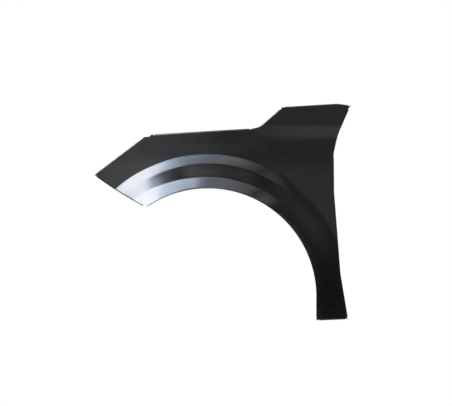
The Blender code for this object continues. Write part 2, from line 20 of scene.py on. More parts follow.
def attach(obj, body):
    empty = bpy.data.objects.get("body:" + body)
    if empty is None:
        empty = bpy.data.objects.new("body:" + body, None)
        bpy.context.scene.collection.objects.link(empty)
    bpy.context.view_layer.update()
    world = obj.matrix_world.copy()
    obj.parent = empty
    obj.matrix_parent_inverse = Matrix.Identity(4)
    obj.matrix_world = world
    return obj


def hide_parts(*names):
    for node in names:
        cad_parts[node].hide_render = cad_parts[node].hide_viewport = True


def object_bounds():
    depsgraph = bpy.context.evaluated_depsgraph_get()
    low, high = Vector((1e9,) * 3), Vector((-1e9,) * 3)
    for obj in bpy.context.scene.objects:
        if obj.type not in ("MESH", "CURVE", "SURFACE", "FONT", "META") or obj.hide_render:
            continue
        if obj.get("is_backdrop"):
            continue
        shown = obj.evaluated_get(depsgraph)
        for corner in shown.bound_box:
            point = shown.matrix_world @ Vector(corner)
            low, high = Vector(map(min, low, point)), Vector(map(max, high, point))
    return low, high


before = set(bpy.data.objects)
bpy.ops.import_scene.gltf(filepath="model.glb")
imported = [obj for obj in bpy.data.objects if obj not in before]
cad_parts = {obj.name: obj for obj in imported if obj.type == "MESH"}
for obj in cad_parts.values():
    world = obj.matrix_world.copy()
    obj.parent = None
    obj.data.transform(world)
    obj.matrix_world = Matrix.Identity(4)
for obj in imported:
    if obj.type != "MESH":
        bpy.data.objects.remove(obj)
log = logging.getLogger("fender")
logging.basicConfig(level=logging.INFO, format="%(name)s: %(message)s")

Pair = tuple[float, float]
Colour = tuple[float, float, float]
Feeds = dict[str | int, object]
Run = tuple[Vector, Vector]

INBOARD = Vector((0.0, 1.0, 0.0))
NODE = "fender_panel"
WHITE: Colour = (1.0, 1.0, 1.0)
BOW_SLOPE = 4  # slope at its ends of a bow that is 1 high in its middle
FULL_LEAD = 0.999  # a place past its relief, apart from rounding


class Span(Enum):
    """Stretches of the side view that an outline corner's place is a share of."""

    FRONT = "front"
    ARCH = "arch"
    DOOR = "door"
    CROWN = "crown"
    FOOT = "foot"


class Flange(Enum):
    """Folded edges along the outer outline."""

    LAMP = "lamp"
    GUTTER = "gutter"
    COWL = "cowl"
    CREST = "crest"
    DOOR = "door"


def clamp(value: float) -> float:
    """Keep a number between 0 and 1."""
    return max(0.0, min(1.0, value))


def smooth(value: np.ndarray) -> np.ndarray:
    """Eased step from 0 to 1."""
    t = np.clip(value, 0.0, 1.0)
    return t * t * (3.0 - 2.0 * t)


def soft_ramp(value: np.ndarray, width: float) -> np.ndarray:
    """Zero below zero and the value above it, rounded over a width.

    Args:
        value: Distances past the start of the ramp, in metres.
        width: Width of the rounded corner, in metres.

    Returns:
        The height of the ramp at each distance.
    """
    rounded = (value + width / 2) ** 2 / (2 * width)
    return np.where(value <= -width / 2, 0.0, np.where(value >= width / 2, value, rounded))


def outward_of(heading: Vector) -> Vector:
    """Left of the way round the outline, which is out of the panel."""
    return Vector((-heading.y, heading.x))


def running_lengths(places: list[Vector]) -> list[float]:
    """Measure along a chain of places.

    Args:
        places: The places in order.

    Returns:
        The length from the first place to each of them.
    """
    lengths = [0.0]
    for a, b in zip(places, places[1:]):
        lengths.append(lengths[-1] + (b - a).length)
    return lengths


@dataclass(frozen=True)
class Reaches:
    """Overall sizes of the side view, taken from the wheel centre, in metres."""

    arch_radius: float = 0.3600
    arch_front_angle: float = math.radians(124.5)
    foot_drop: float = 0.0785
    nose_length: float = 0.1754
    door_reach: float = 0.1151
    crown_height: float = 0.2815

    @property
    def arch_turn(self) -> float:
        """Length of the arch's curved part."""
        return self.arch_radius * self.arch_front_angle

    @property
    def arch_length(self) -> float:
        """Length of the whole arch edge, down to the foot."""
        return self.arch_turn + self.foot_drop

    @property
    def nose_reach(self) -> float:
        """Distance from the wheel centre to the nose along the car."""
        return self.nose_length - self.arch_radius * math.cos(self.arch_front_angle)

    def span_x(self, span: Span, share: float) -> float:
        """Place a share of a span along the car.

        Args:
            span: The stretch that the share is of.
            share: The share.

        Returns:
            Its x from the wheel centre.
        """
        if span is Span.FRONT:
            return -share * self.nose_reach
        if span is Span.ARCH:
            return share * self.arch_radius
        return self.arch_radius + share * self.door_reach

    def span_z(self, span: Span, share: float) -> float:
        """Place a share of a span upwards.

        Args:
            span: The stretch that the share is of.
            share: The share.

        Returns:
            Its z from the wheel centre.
        """
        if span is Span.CROWN:
            return self.arch_radius + share * self.crown_height
        if span is Span.ARCH:
            return share * self.arch_radius
        return -share * self.foot_drop

    def arch_point(self, length: float) -> tuple[Vector, Vector]:
        """Follow the arch opening from its front corner.

        Args:
            length: Length along the opening.

        Returns:
            The point there, and the way out of the opening.
        """
        if length <= self.arch_turn:
            angle = self.arch_front_angle - length / self.arch_radius
            out = Vector((math.cos(angle), math.sin(angle)))
            return out * self.arch_radius, out
        return Vector((self.arch_radius, self.arch_turn - length)), Vector((1.0, 0.0))

    def arch_distance(self, x: np.ndarray, z: np.ndarray) -> np.ndarray:
        """Distance from the arch opening to places of the side view."""
        return np.where(z < 0, x, np.hypot(x, z)) - self.arch_radius

    def arch_share(self, x: np.ndarray, z: np.ndarray) -> np.ndarray:
        """How far round the arch places lie: 0 at the front corner, 1 at the foot."""
        round_arch = (self.arch_front_angle - np.arctan2(z, x)) * self.arch_radius
        return np.where(z < 0, self.arch_turn - z, round_arch) / self.arch_length


@dataclass(frozen=True)
class FlareSizes:
    """Stepped flare round the arch: a lip riser, a flat land and an outer riser."""

    lip_width: float = 0.0384
    land_width: float = 0.0424
    riser_width: float = 0.0327
    lip_step: float = 0.0200
    riser_step: float = 0.0115
    land_twist_step: float = 0.0205
    fillet: float = 0.0055
    leg_swell: float = 0.0100
    growth_share: float = 0.62
    lip_growth_share: float = 0.15
    growth_end_share: float = 0.40
    full_share: float = 0.38
    end_share: float = 0.55
    twist_full_share: float = 0.02
    twist_end_share: float = 0.20

    @property
    def width(self) -> float:
        """Width of the whole flare."""
        return self.lip_width + self.land_width + self.riser_width

    def growth(self, share: np.ndarray) -> np.ndarray:
        """How far the flare has grown toward its front, where it is widest and steepest."""
        return np.maximum(0.0, 1 - share / self.growth_end_share) ** 2

    def lip_reach(self, share: np.ndarray) -> np.ndarray:
        """Width of the flare's lip at a share of the way round the arch."""
        return self.lip_width * (1 + self.lip_growth_share * self.growth(share))


@dataclass(frozen=True)
class SkinSizes:
    """How far the skin moves inboard, and where."""

    nose_recess: float = 0.1100
    hood_lean: float = 0.0120
    shoulder_step: float = 0.0050
    shoulder_shelf: float = 0.0400
    shelf_foot_round_share: float = 0.5
    shelf_top_round_share: float = 0.125
    leg_tuck: float = 0.0280
    waist_hollow: float = 0.0040
    waist_reach_share: float = 0.45
    crown_start_share: float = 0.20
    rear_crown_start_share: float = 0.10
    hood_line_share: float = 0.70
    shelf_top_share: float = 0.735
    plan_start_share: float = 0.17
    tuck_start_share: float = 0.72
    plan_power: float = 2.0


@dataclass(frozen=True)
class FlangeSizes:
    """Sheet, bends and folded edges. A bend's radius is that of the painted side."""

    sheet: float = 0.0008
    edge_bend: float = 0.0032
    arch_bend: float = 0.0015
    gutter_bend: float = 0.0050
    ledge_bend: float = 0.0035
    arch: float = 0.0180
    lamp: float = 0.0140
    bumper: float = 0.0170
    cowl: float = 0.0150
    crest: float = 0.0130
    door: float = 0.0120
    sill: float = 0.0240
    relief: float = 0.0080
    taper: float = 0.0080
    end_width_share: float = 0.4
    cowl_relief_share: float = 0.25
    gutter_depth: float = 0.0300
    gutter_lean: float = math.radians(18)
    ledge_width: float = 0.0250
    seat_drop: float = 0.0025
    seat_length: float = 0.0400
    seat_ramp: float = 0.0100
    tab_reach: float = 0.0220
    tab_length: float = 0.0380
    tab_shoulder: float = 0.0100
    seat_point_offset: float = 0.0125
    seat_places_shares: tuple[float, ...] = (0.12, 0.52, 0.90)
    tab_places_shares: tuple[float, ...] = (0.30, 0.86)


@dataclass(frozen=True)
class HoleSizes:
    """Holes punched in the folded edges."""

    seat_radius: float = 0.0045
    tab_radius: float = 0.0045
    sill_radius: float = 0.0040
    clip_radius: float = 0.0032
    slot_radius: float = 0.0035
    slot_length: float = 0.0160
    reach_share: float = 0.50
    tab_reach_share: float = 0.68
    lamp_clip_share: float = 0.50
    cowl_clip_share: float = 0.55
    arch_clip_shares: tuple[float, ...] = (0.06, 0.27, 0.50, 0.73, 0.94)
    slot_places_shares: tuple[float, ...] = (0.22, 0.55, 0.84)
    sill_places_shares: tuple[float, ...] = (0.28, 0.74)


@dataclass(frozen=True)
class Fineness:
    """How finely the surface is divided."""

    door_pitch: float = 0.0028
    edge_pitch: float = 0.0060
    ring_pitch: float = 0.0048
    crease_pitch: float = 0.0015
    outer_rows: int = 72
    bend_facets: int = 6
    gutter_facets: int = 8
    hole_facets: int = 32
    ring_room_share: float = 0.64
    halvings: int = 26
    sharp_angle: float = math.radians(32)


@dataclass(frozen=True)
class Corner:
    """A corner of the outer outline, with the column of facets that meets it."""

    name: str
    x_span: Span
    x_share: float
    z_span: Span
    z_share: float
    arch_share: float
    bow_share: float
    blend: float = 0.0


def fender_corners() -> tuple[Corner, ...]:
    """List the corners of the outer outline.

    Returns:
        The corners from the nose over the hood line and down the door edge.
    """
    cowl_blend, door_blend, crest_blend = 0.0600, 0.3000, 0.1200
    return (
        Corner("nose", Span.FRONT, 1.000, Span.CROWN, 0.160, 0.000, 0.022),
        Corner("lamp_top", Span.FRONT, 0.560, Span.CROWN, 0.607, 0.110, 0.000),
        Corner("notch_foot", Span.FRONT, 0.514, Span.CROWN, 0.611, 0.125, 0.000),
        Corner("hood_front", Span.FRONT, 0.491, Span.CROWN, 0.638, 0.140, 0.000),
        Corner("hood_rear", Span.ARCH, 0.468, Span.CROWN, 0.712, 0.445, 0.000, cowl_blend),
        Corner("cowl_top", Span.ARCH, 0.689, Span.CROWN, 0.961, 0.505, 0.020),
        Corner("crest", Span.DOOR, 0.610, Span.CROWN, 1.000, 0.580, 0.065, crest_blend),
        Corner("tail", Span.DOOR, 1.000, Span.CROWN, 0.980, 0.605, 0.090),
        Corner("door_upper", Span.DOOR, 0.627, Span.CROWN, 0.638, 0.675, 0.060, door_blend),
        Corner("door_waist", Span.DOOR, 0.506, Span.CROWN, 0.420, 0.725, 0.020, door_blend),
        Corner("door_middle", Span.DOOR, 0.514, Span.ARCH, 0.967, 0.790, 0.000, door_blend),
        Corner("door_low", Span.DOOR, 0.700, Span.ARCH, 0.214, 0.925, 0.000, door_blend),
        Corner("foot_rear", Span.DOOR, 0.922, Span.FOOT, 0.945, 1.000, 0.000),
    )


@dataclass(frozen=True)
class SkinForm:
    """The painted surface as a height over the side view."""

    reaches: Reaches = Reaches()
    flare: FlareSizes = FlareSizes()
    sizes: SkinSizes = SkinSizes()

    def flare_height(self, x: np.ndarray, z: np.ndarray) -> np.ndarray:
        """Find how far the stepped flare stands out, steeper to the front and fading out behind.

        Args:
            x: Places along the car from the wheel centre, in metres.
            z: Heights above the wheel centre, in metres.

        Returns:
            The height of the flare at each place, in metres.
        """
        f = self.flare
        rho = self.reaches.arch_distance(x, z)
        share = self.reaches.arch_share(x, z)
        fade = 1 - smooth((share - f.full_share) / (f.end_share - f.full_share))
        twist = 1 - smooth((share - f.twist_full_share) / (f.twist_end_share - f.twist_full_share))
        steeper = 1 + f.growth_share * f.growth(share)
        lip_slope = steeper * f.lip_step / f.lip_width
        riser_slope = steeper * f.riser_step / f.riser_width
        land_slope = twist * f.land_twist_step / f.land_width
        height = riser_slope * soft_ramp(f.width - rho, f.fillet)
        height += (land_slope - riser_slope) * soft_ramp(f.lip_width + f.land_width - rho, f.fillet)
        height += (lip_slope - land_slope) * soft_ramp(f.lip_reach(share) - rho, f.fillet)
        swell = f.leg_swell * (1 - fade) * (1 - smooth(rho / f.width))
        return fade * height + swell

    def depth(self, x: np.ndarray, z: np.ndarray) -> np.ndarray:
        """Y of the painted skin at places of the side view.

        Args:
            x: Places along the car from the wheel centre, in metres.
            z: Heights above the wheel centre, in metres.

        Returns:
            How far inboard the skin lies at each place, in metres.
        """
        r, s = self.reaches, self.sizes
        x, z = np.asarray(x, float), np.asarray(z, float)
        plan_start = s.plan_start_share * r.arch_radius
        plan = np.clip((plan_start - x) / (plan_start + r.nose_reach), 0.0, 2.0)
        depth = s.nose_recess * plan**s.plan_power

        rearward = smooth((x - plan_start) / (r.arch_radius - plan_start))
        start_change = s.rear_crown_start_share - s.crown_start_share
        start_share = s.crown_start_share + rearward * start_change
        crown_start = r.arch_radius + start_share * r.crown_height
        hood_line = r.span_z(Span.CROWN, s.hood_line_share)
        lean = np.maximum(0.0, (z - crown_start) / (hood_line - crown_start))
        depth = depth + s.hood_lean * np.where(lean < 1, lean**2, 2 * lean - 1)

        shelf = r.span_z(Span.CROWN, s.shelf_top_share)
        wide = s.shoulder_shelf
        shelf_rise = soft_ramp(z - shelf + wide, wide * s.shelf_foot_round_share)
        shelf_rise = shelf_rise - soft_ramp(z - shelf, wide * s.shelf_top_round_share)
        depth = depth + s.shoulder_step * rearward * shelf_rise / wide

        tuck_start = s.tuck_start_share * r.arch_radius
        tuck = np.maximum(0.0, (tuck_start - z) / (tuck_start + r.foot_drop))
        depth = depth + s.leg_tuck * tuck**2 * smooth(x / r.arch_radius)

        middle = (r.arch_radius + self.flare.width + hood_line) / 2
        up = (z - middle) / (hood_line - middle)
        along = x / (s.waist_reach_share * r.arch_radius)
        depth = depth + s.waist_hollow * np.exp(-(up**2)) * np.exp(-(along**2))
        return depth - self.flare_height(x, z)

    def point(self, place: Vector) -> Vector:
        """The skin's point over one place of the side view."""
        return Vector((place.x, float(self.depth(place.x, place.y)), place.y))

    def lifted(self, place: Vector, way: Vector) -> Vector:
        """Lay a direction of the side view into the skin.

        Args:
            place: Place in the side view.
            way: Direction in the side view.

        Returns:
            The unit direction along the skin.
        """
        step = 0.0001
        xs = np.array([place.x + step, place.x - step, place.x, place.x])
        zs = np.array([place.y, place.y, place.y + step, place.y - step])
        d = self.depth(xs, zs)
        slope_x, slope_z = (d[0] - d[1]) / (2 * step), (d[2] - d[3]) / (2 * step)
        return Vector((way.x, slope_x * way.x + slope_z * way.y, way.y)).normalized()

    def bend_reach(self, place: Vector, out: Vector, radius: float) -> float:
        """How far a bend from the skin to the inboard way carries on past its start."""
        return radius * (1 - self.lifted(place, out).dot(INBOARD))

    def heading_in_skin(self, place: Vector, out: Vector, heading: Vector) -> Vector:
        """Lay the way out of the panel into the skin, square to its edge.

        Args:
            place: Place in the side view.
            out: The way out of the panel there.
            heading: The way along the edge.

        Returns:
            The unit way out along the skin.
        """
        edge = self.lifted(place, heading)
        way = self.lifted(place, out)
        return (way - edge * way.dot(edge)).normalized()


class Outline:
    """The outer outline as lines and blends, measured by the length along it."""

    def __init__(self, reaches: Reaches, corners: tuple[Corner, ...]) -> None:
        """Lay the lines and blends.

        Args:
            reaches: Overall sizes that the corners are shares of.
            corners: The corners in order.
        """
        self.corners = corners
        points = [
            Vector((reaches.span_x(c.x_span, c.x_share), reaches.span_z(c.z_span, c.z_share)))
            for c in corners
        ]
        self.pieces: list[tuple[float, float, Vector, Vector, float]] = []
        self.marks: dict[str, tuple[float, float]] = {corners[0].name: (0.0, 0.0)}
        self.length = 0.0
        start = points[0]
        for i in range(1, len(points)):
            arriving = (points[i] - points[i - 1]).normalized()
            cut = 0.0
            if corners[i].blend:
                leaving = (points[i + 1] - points[i]).normalized()
                turn = math.atan2(arriving.cross(leaving), arriving.dot(leaving))
                room = min((points[i] - start).length, (points[i + 1] - points[i]).length) / 2
                cut = min(corners[i].blend * math.tan(abs(turn) / 2), room)
            end = points[i] - arriving * cut
            self._add((end - start).length, start, arriving, 0.0)
            self.marks[corners[i].name] = (self.length, self.length)
            if cut:
                before = self.length
                radius = cut / math.tan(abs(turn) / 2)
                self._add(radius * abs(turn), end, arriving, turn)
                self.marks[corners[i].name] = (before, self.length)
                end = points[i] + leaving * cut
            start = end

    def _add(self, length: float, start: Vector, heading: Vector, turn: float) -> None:
        """Append one line or blend.

        Args:
            length: Length of the piece.
            start: Where it starts.
            heading: The way it sets off.
            turn: Angle of a blend, or 0 for a line.
        """
        self.pieces.append((self.length, length, start, heading, turn))
        self.length += length

    def at(self, length: float) -> tuple[Vector, Vector]:
        """Follow the outline.

        Args:
            length: Length from the nose.

        Returns:
            The place there, and the heading.
        """
        for before, run, start, heading, turn in self.pieces:
            if length <= before + run or before + run >= self.length:
                done = length - before
                break
        if not turn:
            return start + heading * done, heading
        radius = run / abs(turn)
        centre = start + heading.orthogonal() * math.copysign(radius, turn)
        swing = Matrix.Rotation(turn * done / run, 2)
        return centre + swing @ (start - centre), swing @ heading

    def between(self, length: float, values: list[float]) -> float:
        """Carry a value of each corner on evenly between the corners.

        Args:
            length: Length along the outline.
            values: The value at each corner.

        Returns:
            The value at the length.
        """
        known = [sum(self.marks[c.name]) / 2 for c in self.corners]
        return float(np.interp(length, known, values))

    def arch_share(self, length: float) -> float:
        """Where along the arch the column that ends at a length starts."""
        return self.between(length, [c.arch_share for c in self.corners])

    def bow_share(self, length: float) -> float:
        """How far the column that ends at a length bows forward."""
        return self.between(length, [c.bow_share for c in self.corners])


class NodeSketch:
    """Short hand for laying nodes in a shader or geometry tree."""

    def __init__(self, tree: bpy.types.NodeTree) -> None:
        """Keep the tree to write in."""
        self.tree = tree

    def feed(self, value: object, target: bpy.types.NodeSocket) -> None:
        """Give an input its value.

        Args:
            value: A socket to link, or a plain value to set.
            target: The input.
        """
        if isinstance(value, bpy.types.NodeSocket):
            self.tree.links.new(value, target)
        else:
            target.default_value = value

    def put(self, kind: str, feeds: Feeds | None = None, **settings: object) -> bpy.types.Node:
        """Add a node.

        Args:
            kind: The node's type.
            feeds: A socket or a plain value for each input, by its name or number.
            **settings: The node's properties, set before its inputs.

        Returns:
            The new node.
        """
        node = self.tree.nodes.new(kind)
        for name, value in settings.items():
            setattr(node, name, value)
        for key, value in (feeds or {}).items():
            self.feed(value, node.inputs[key])
        return node

    def math(self, operation: str, *values: object) -> bpy.types.NodeSocket:
        """Add a Math node.

        Args:
            operation: What it does.
            *values: Its sockets and numbers.

        Returns:
            The node's output.
        """
        return self.put("ShaderNodeMath", dict(enumerate(values)), operation=operation).outputs[0]

    def noise(
        self, coords: bpy.types.NodeSocket, scale: float, detail: float
    ) -> bpy.types.NodeSocket:
        """Add noise over coordinates.

        Args:
            coords: The coordinates.
            scale: Features to the metre.
            detail: Number of finer octaves.

        Returns:
            The noise as a number.
        """
        feeds = {"Vector": coords, "Scale": scale, "Detail": detail}
        return self.put("ShaderNodeTexNoise", feeds).outputs["Fac"]

    def spread(
        self, value: bpy.types.NodeSocket, comes_from: Pair, goes_to: Pair = (0.0, 1.0)
    ) -> bpy.types.NodeSocket:
        """Map a value from one range to another, clamped.

        Args:
            value: The value.
            comes_from: The ends of its range before the change.
            goes_to: The ends after it.

        Returns:
            The value in its new range.
        """
        names = ("Value", "From Min", "From Max", "To Min", "To Max")
        feeds = dict(zip(names, (value, *comes_from, *goes_to)))
        return self.put("ShaderNodeMapRange", feeds, clamp=True).outputs["Result"]

    def mix_colours(
        self, factor: bpy.types.NodeSocket, first: object, second: object
    ) -> bpy.types.NodeSocket:
        """Mix two colours.

        Args:
            factor: Share of the second colour.
            first: A socket or a tuple.
            second: A socket or a tuple.

        Returns:
            The mixed colour.
        """
        ends = [(*end, 1.0) if isinstance(end, tuple) else end for end in (first, second)]
        feeds = {"Factor": factor, 6: ends[0], 7: ends[1]}
        return self.put("ShaderNodeMix", feeds, data_type="RGBA").outputs[2]


@dataclass
class Boundary:
    """One boundary of the skin, with what its flange needs at each of its places."""

    row: list[Vector]
    edges: list[Vector]
    ways: list[tuple[Vector, Vector]]
    leads: list[float]
    verts: list[bmesh.types.BMVert] = field(default_factory=list)


@dataclass
class Strip:
    """A flange's straight runs from root to tip, with their lengths along the outline."""

    runs: list[Run]
    stations: list[float]

    def share_at(self, length: float) -> float:
        """Share of the strip that lies before a length along the outline."""
        lengths = running_lengths([root for root, _ in self.runs])
        return float(np.interp(length, self.stations, lengths)) / lengths[-1]


@dataclass
class HolePlace:
    """One hole: its centre, its ways along and through the sheet, its radius and its slot."""

    centre: Vector
    along: Vector
    axis: Vector
    radius: float
    slot_half: float = 0.0


def set_input(modifier: bpy.types.NodesModifier, name: str, value: object) -> None:
    """Set a modifier's input by its socket's identifier.

    Args:
        modifier: The Geometry Nodes modifier.
        name: The input's name in its tree.
        value: The value to give it.
    """
    for item in modifier.node_group.interface.items_tree:
        if item.item_type == "SOCKET" and item.in_out == "INPUT" and item.name == name:
            modifier[item.identifier] = value


@dataclass
class HolePunch:
    """Punches round and slotted holes through the sheet with Geometry Nodes."""

    sheet: float
    facets: int
    reach_in_sheets: float = 6.0

    def places_object(self, places: list[HolePlace]) -> bpy.types.Object:
        """Make one point for each hole, with its turn, radius and slot as attributes.

        Args:
            places: Where the holes go.

        Returns:
            An object of loose points, not yet in a collection.
        """
        mesh = bpy.data.meshes.new("hole_places")
        mesh.from_pydata([tuple(p.centre) for p in places], [], [])
        turns, alongs = [], []
        for p in places:
            basis = Matrix((p.along, p.axis.cross(p.along), p.axis)).transposed()
            turns += list(basis.to_euler())
            alongs += list(p.along)
        for name, kind, key, values in (
            ("turn", "FLOAT_VECTOR", "vector", turns),
            ("along", "FLOAT_VECTOR", "vector", alongs),
            ("radius", "FLOAT", "value", [p.radius for p in places]),
            ("slot_half", "FLOAT", "value", [p.slot_half for p in places]),
        ):
            mesh.attributes.new(name, kind, "POINT").data.foreach_set(key, values)
        return bpy.data.objects.new("hole_places", mesh)

    def tree(self) -> bpy.types.GeometryNodeTree:
        """Lay the tree: a cutter on each point, stretched to its slot and cut out of the sheet.

        Returns:
            The node tree, with its inputs named.
        """
        tree = bpy.data.node_groups.new("punch_holes", "GeometryNodeTree")
        for name, way, kind in (
            ("Sheet", "INPUT", "Geometry"),
            ("Hole places", "INPUT", "Object"),
            ("Sides", "INPUT", "Int"),
            ("Reach", "INPUT", "Float"),
            ("Finish", "INPUT", "Material"),
            ("Sheet", "OUTPUT", "Geometry"),
        ):
            tree.interface.new_socket(name, in_out=way, socket_type=f"NodeSocket{kind}")
        sketch = NodeSketch(tree)
        put = sketch.put
        given = put("NodeGroupInput").outputs

        def attribute(name: str, kind: str) -> bpy.types.NodeSocket:
            """Read a named attribute.

            Args:
                name: The attribute's name.
                kind: Its data type.

            Returns:
                The attribute's value on each point.
            """
            node = put("GeometryNodeInputNamedAttribute", {"Name": name}, data_type=kind)
            return node.outputs["Attribute"]

        feeds = {"Radius": 1.0, "Vertices": given["Sides"], "Depth": given["Reach"]}
        cutter = put("GeometryNodeMeshCylinder", feeds, fill_type="NGON")
        parts = put("ShaderNodeSeparateXYZ", {0: put("GeometryNodeInputPosition").outputs[0]})
        side = sketch.math("SIGN", parts.outputs["X"])
        feeds = {"Name": "side", "Geometry": cutter.outputs["Mesh"], "Value": side}
        sided = put("GeometryNodeStoreNamedAttribute", feeds, data_type="FLOAT", domain="POINT")

        places = put("GeometryNodeObjectInfo", {"Object": given["Hole places"]})
        radius = attribute("radius", "FLOAT")
        scale = put("ShaderNodeCombineXYZ", {"X": radius, "Y": radius, "Z": 1.0})
        feeds = {
            "Points": places.outputs["Geometry"],
            "Instance": sided.outputs["Geometry"],
            "Rotation": attribute("turn", "FLOAT_VECTOR"),
            "Scale": scale.outputs[0],
        }
        spread = put("GeometryNodeInstanceOnPoints", feeds)
        real = put("GeometryNodeRealizeInstances", {0: spread.outputs["Instances"]})

        slot_half = attribute("slot_half", "FLOAT")
        stretch = sketch.math("MULTIPLY", attribute("side", "FLOAT"), slot_half)
        feeds = {0: attribute("along", "FLOAT_VECTOR"), "Scale": stretch}
        shift = put("ShaderNodeVectorMath", feeds, operation="SCALE")
        feeds = {"Geometry": real.outputs[0], "Offset": shift.outputs[0]}
        slotted = put("GeometryNodeSetPosition", feeds)

        feeds = {"Mesh 1": given["Sheet"], "Mesh 2": slotted.outputs["Geometry"]}
        cut = put("GeometryNodeMeshBoolean", feeds, operation="DIFFERENCE", solver="EXACT")
        whole = put("GeometryNodeRealizeInstances", {0: cut.outputs["Mesh"]})
        feeds = {"Geometry": whole.outputs[0], "Material": given["Finish"]}
        dress = put("GeometryNodeSetMaterial", feeds)
        put("NodeGroupOutput", {0: dress.outputs["Geometry"]})
        return tree

    def punch(
        self, sheet: bpy.types.Object, places: list[HolePlace], finish: bpy.types.Material
    ) -> bpy.types.Mesh:
        """Cut the holes and return the finished plain mesh.

        Args:
            sheet: The closed sheet, with its other modifiers.
            places: Where the holes go.
            finish: The sheet's material.

        Returns:
            The evaluated mesh with its holes.
        """
        points = self.places_object(places)
        bpy.context.scene.collection.objects.link(points)
        modifier = sheet.modifiers.new("holes", "NODES")
        modifier.node_group = self.tree()
        set_input(modifier, "Hole places", points)
        set_input(modifier, "Sides", self.facets)
        set_input(modifier, "Reach", self.sheet * self.reach_in_sheets)
        set_input(modifier, "Finish", finish)
        graph = bpy.context.evaluated_depsgraph_get()
        mesh = bpy.data.meshes.new_from_object(sheet.evaluated_get(graph), depsgraph=graph)
        bpy.data.objects.remove(points)
        return mesh


@dataclass
class FenderPanel:
    """The whole pressed sheet: its skin, its folded edges and its holes."""

    form: SkinForm = field(default_factory=SkinForm)
    flanges: FlangeSizes = field(default_factory=FlangeSizes)
    holes: HoleSizes = field(default_factory=HoleSizes)
    fine: Fineness = field(default_factory=Fineness)
    corners: tuple[Corner, ...] = field(default_factory=fender_corners)

    def __post_init__(self) -> None:
        """Lay the outline and find where its flanges, seats and tabs run."""
        self.reaches = self.form.reaches
        self.outline = Outline(self.reaches, self.corners)
        self.mesh = bmesh.new()
        self.hole_places: list[HolePlace] = []
        self.origin = Vector((0.0, 0.0, 0.0))
        f, marks = self.flanges, self.outline.marks
        self.edges = {
            Flange.LAMP: (marks["nose"][0], marks["lamp_top"][0]),
            Flange.GUTTER: (marks["hood_front"][0], marks["hood_rear"][0]),
            Flange.COWL: (marks["hood_rear"][0], marks["cowl_top"][0]),
            Flange.CREST: (marks["cowl_top"][0], marks["tail"][0]),
            Flange.DOOR: (marks["tail"][0], marks["foot_rear"][0]),
        }
        self.spans = {}
        for flange, (low, high) in self.edges.items():
            before = f.relief * (f.cowl_relief_share if flange is Flange.COWL else 1)
            self.spans[flange] = (low + before, high - f.relief)
        low, high = self.spans[Flange.GUTTER]
        inner = f.seat_length / 2 + f.seat_ramp
        self.seats = [low + inner + (high - low - 2 * inner) * s for s in f.seat_places_shares]
        low, high = self.spans[Flange.DOOR]
        self.tabs = [low + (high - low) * share for share in f.tab_places_shares]

    def stations(self) -> list[float]:
        """Choose where the columns of facets end.

        Returns:
            Every such length along the outline, in order.
        """
        f = self.flanges
        stops = [end for mark in self.outline.marks.values() for end in mark]
        stops += [end for span in self.spans.values() for end in span]
        for low, high in self.spans.values():
            stops += [low + f.taper, high - f.taper]
        for seat in self.seats:
            half, past = f.seat_length / 2, f.seat_length / 2 + f.seat_ramp
            stops += [seat - past, seat - half, seat, seat + half, seat + past]
        for tab in self.tabs:
            half, past = f.tab_length / 2, f.tab_length / 2 + f.tab_shoulder
            stops += [tab - past, tab - half, tab, tab + half, tab + past]
        stops = sorted(s for s in stops if 0 <= s <= self.outline.length)
        fine_from, fine_to = self.outline.marks["tail"][1], self.outline.marks["door_waist"][1]
        result = [stops[0]]
        for low, high in zip(stops, stops[1:]):
            if high - low < f.sheet:
                continue
            is_fine = fine_from <= low < fine_to
            pitch = self.fine.door_pitch if is_fine else self.fine.edge_pitch
            is_end = high <= f.relief or low >= self.spans[Flange.DOOR][1]
            steps = 1 if is_end else math.ceil((high - low) / pitch)
            result += [low + (high - low) * k / steps for k in range(1, steps + 1)]
        return result

    def ring_stops(self, start: float) -> list[tuple[float, int]]:
        """Where the flare's fillets start and end on a column.

        Args:
            start: Length along the arch at which the column starts.

        Returns:
            The distances from the arch, each with the number of rows up to it.
        """
        flare, fine = self.form.flare, self.fine
        nominal = (flare.lip_width, flare.lip_width + flare.land_width, flare.width)
        lip = float(flare.lip_reach(start / self.reaches.arch_length))
        stops, nominal_last = [], 0.0
        for crease, usual in zip((lip, *nominal[1:]), nominal):
            rows = math.ceil((usual - flare.fillet / 2 - nominal_last) / fine.ring_pitch)
            stops.append((crease - flare.fillet / 2, rows))
            stops.append((crease + flare.fillet / 2, math.ceil(flare.fillet / fine.crease_pitch)))
            nominal_last = usual + flare.fillet / 2
        return stops

    def end_fade(self, length: float, reach: float) -> float:
        """Grow a share from 0 to 1 over the relief at an end, and take it back to 0 at the reach.

        Args:
            length: Distance from the end.
            reach: Where the share is 0 again.

        Returns:
            The share.
        """
        relief = self.flanges.relief
        return clamp(min(length / relief, (reach - length) / (reach - relief)))

    def arch_start(self, length: float) -> float:
        """Find where a column starts, keeping a relief clear at both ends of the arch.

        Args:
            length: Length along the outline at which the column ends.

        Returns:
            Length along the arch at which it starts.
        """
        outline, relief, whole = self.outline, self.flanges.relief, self.reaches.arch_length
        front = relief - outline.arch_share(relief) * whole
        foot = relief - (1 - outline.arch_share(outline.length - relief)) * whole
        front_fade = self.end_fade(length, outline.marks["lamp_top"][0])
        reach = outline.length - outline.marks["door_low"][1]
        foot_fade = self.end_fade(outline.length - length, reach)
        return outline.arch_share(length) * whole + front * front_fade - foot * foot_fade

    def leads(self, lengths: list[float]) -> list[float]:
        """Find how far a boundary's places stay back for the bend: 0 at its ends, 1 past a relief.

        Args:
            lengths: Length along the boundary at each place.

        Returns:
            The share of the bend's reach at each place.
        """
        relief, last = self.flanges.relief, lengths[-1]
        return [clamp(min(length - lengths[0], last - length) / relief) for length in lengths]

